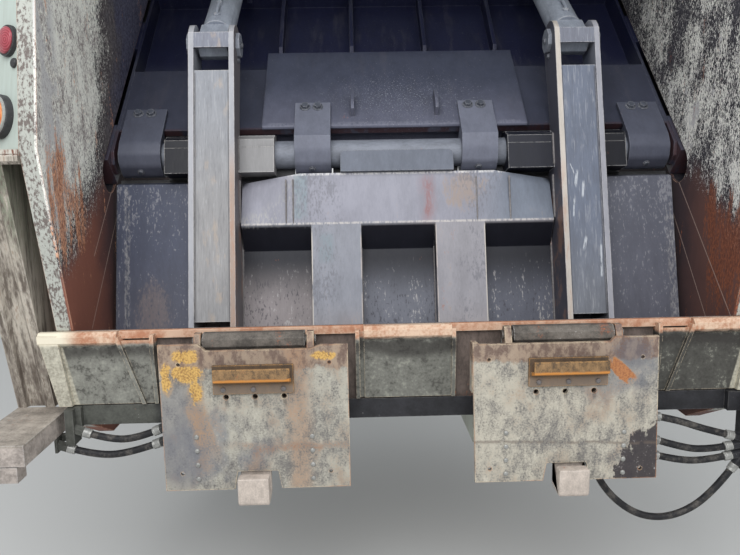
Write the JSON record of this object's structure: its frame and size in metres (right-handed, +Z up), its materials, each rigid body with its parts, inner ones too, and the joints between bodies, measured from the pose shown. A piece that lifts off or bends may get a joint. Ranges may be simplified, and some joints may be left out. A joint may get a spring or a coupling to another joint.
{
  "type": "rear loader tailgate",
  "caption": "Tailgate of a refuse truck: hopper with load sill, sliding carriage, swinging packer blade on lever arms, sweep cylinders and cart tippers.",
  "frame": {"origin": "middle of the hinge axis on which the tailgate lifts, at its top front", "axes": "+X to the right seen from behind the truck, +Y to the truck's front, +Z up"},
  "size_m": [2.48, 2.087, 2.7541],
  "materials": {
    "hopper_paint": "worn pale paint with scuffs and rust",
    "sill_steel": "scuffed olive-grey steel with a rusty edge",
    "packer_steel": "dark blue-grey steel polished by refuse",
    "lever_steel": "scuffed grey steel with bright edges",
    "tipper_steel": "scuffed beige-grey steel with rust and yellow paint",
    "catch_steel": "golden brown rusty steel",
    "cylinder_paint": "grey painted tube",
    "rod_chrome": "bright rod",
    "step_steel": "rusty brown-grey steel",
    "lamp_red": "red lens",
    "lamp_orange": "orange lens",
    "hose_rubber": "black hydraulic hose"
  },
  "bodies": {
    "tailgate": {"side_wall_left": "hopper_paint", "side_wall_right": "hopper_paint", "slide_track_left": "packer_steel", "slide_track_right": "packer_steel", "track_cover_left": "hopper_paint", "track_cover_right": "hopper_paint", "hopper_floor": "packer_steel", "floor_ribs": "packer_steel", "load_sill": "sill_steel", "cross_tube": "sill_steel", "roof": "hopper_paint", "front_frame": "hopper_paint", "lamp_pillar_left": "hopper_paint", "lamp_pillar_right": "hopper_paint", "corner_post_left": "step_steel", "corner_post_right": "step_steel", "step_left": "step_steel", "step_right": "step_steel", "red_lamp": "lamp_red", "orange_lamp": "lamp_orange", "slide_barrel_left": "cylinder_paint", "slide_barrel_right": "cylinder_paint", "tipper_mount_left": "tipper_steel", "tipper_mount_right": "tipper_steel", "hose_left_upper": "hose_rubber", "hose_left_lower": "hose_rubber", "hose_right_upper": "hose_rubber", "hose_right_middle": "hose_rubber", "hose_right_lower": "hose_rubber", "hose_right_loop": "hose_rubber"},
    "carriage": {"carriage": "packer_steel", "bearing_caps": "packer_steel", "slide_shoes_left": "packer_steel", "slide_shoes_right": "packer_steel", "slide_rod_left": "rod_chrome", "slide_rod_right": "rod_chrome"},
    "blade": {"blade": "packer_steel", "blade_shaft": "packer_steel", "shaft_guard": "packer_steel", "lever_arm_left": "lever_steel", "lever_arm_right": "lever_steel", "lever_pins": "lever_steel"},
    "sweep_barrel_left": {"sweep_barrel_left": "cylinder_paint"},
    "sweep_rod_left": {"sweep_rod_left": "rod_chrome"},
    "tipper_left": {"tipper_plate_left": "tipper_steel", "tipper_catch_left": "catch_steel", "latch_hook_left": "tipper_steel"},
    "sweep_barrel_right": {"sweep_barrel_right": "cylinder_paint"},
    "sweep_rod_right": {"sweep_rod_right": "rod_chrome"},
    "tipper_right": {"tipper_plate_right": "tipper_steel", "tipper_catch_right": "catch_steel", "latch_hook_right": "tipper_steel"}
  },
  "joints": [
    {"name": "carriage_slide", "type": "slide", "parent": "tailgate", "child": "carriage", "axis": [0, 0.7071, 0.7071], "range_m": [0, 0.72]},
    {"name": "blade_swing", "type": "hinge", "parent": "carriage", "child": "blade", "pos_m": [0, -1.295, -1.512], "axis": [1, 0, 0], "range_deg": [-6, 64]},
    {"name": "sweep_left_turn", "type": "hinge", "parent": "blade", "child": "sweep_barrel_left", "pos_m": [-0.636, -1.27922, -1.12499], "axis": [1, 0, 0], "range_deg": [-66.8, 6.7]},
    {"name": "sweep_left_stroke", "type": "slide", "parent": "sweep_barrel_left", "child": "sweep_rod_left", "axis": [0, 0.809, 0.5878], "range_m": [-0.04, 0.411]},
    {"name": "sweep_right_turn", "type": "hinge", "parent": "blade", "child": "sweep_barrel_right", "pos_m": [0.636, -1.27922, -1.12499], "axis": [1, 0, 0], "range_deg": [-66.8, 6.7]},
    {"name": "sweep_right_stroke", "type": "slide", "parent": "sweep_barrel_right", "child": "sweep_rod_right", "axis": [0, 0.809, 0.5878], "range_m": [-0.04, 0.411]},
    {"name": "tipper_left_turn", "type": "hinge", "parent": "tailgate", "child": "tipper_left", "pos_m": [-0.459, -1.838, -2.064], "axis": [-1, 0, 0], "range_deg": [0, 145]},
    {"name": "tipper_right_turn", "type": "hinge", "parent": "tailgate", "child": "tipper_right", "pos_m": [0.459, -1.838, -2.064], "axis": [-1, 0, 0], "range_deg": [0, 145]}
  ],
  "couplings": [
    {"joint": "sweep_left_turn", "follows": "blade_swing", "ratio": -1.0366},
    {"joint": "sweep_left_stroke", "follows": "blade_swing", "m_per_rad": 0.36609},
    {"joint": "sweep_right_turn", "follows": "blade_swing", "ratio": -1.0366},
    {"joint": "sweep_right_stroke", "follows": "blade_swing", "m_per_rad": 0.36609}
  ]
}
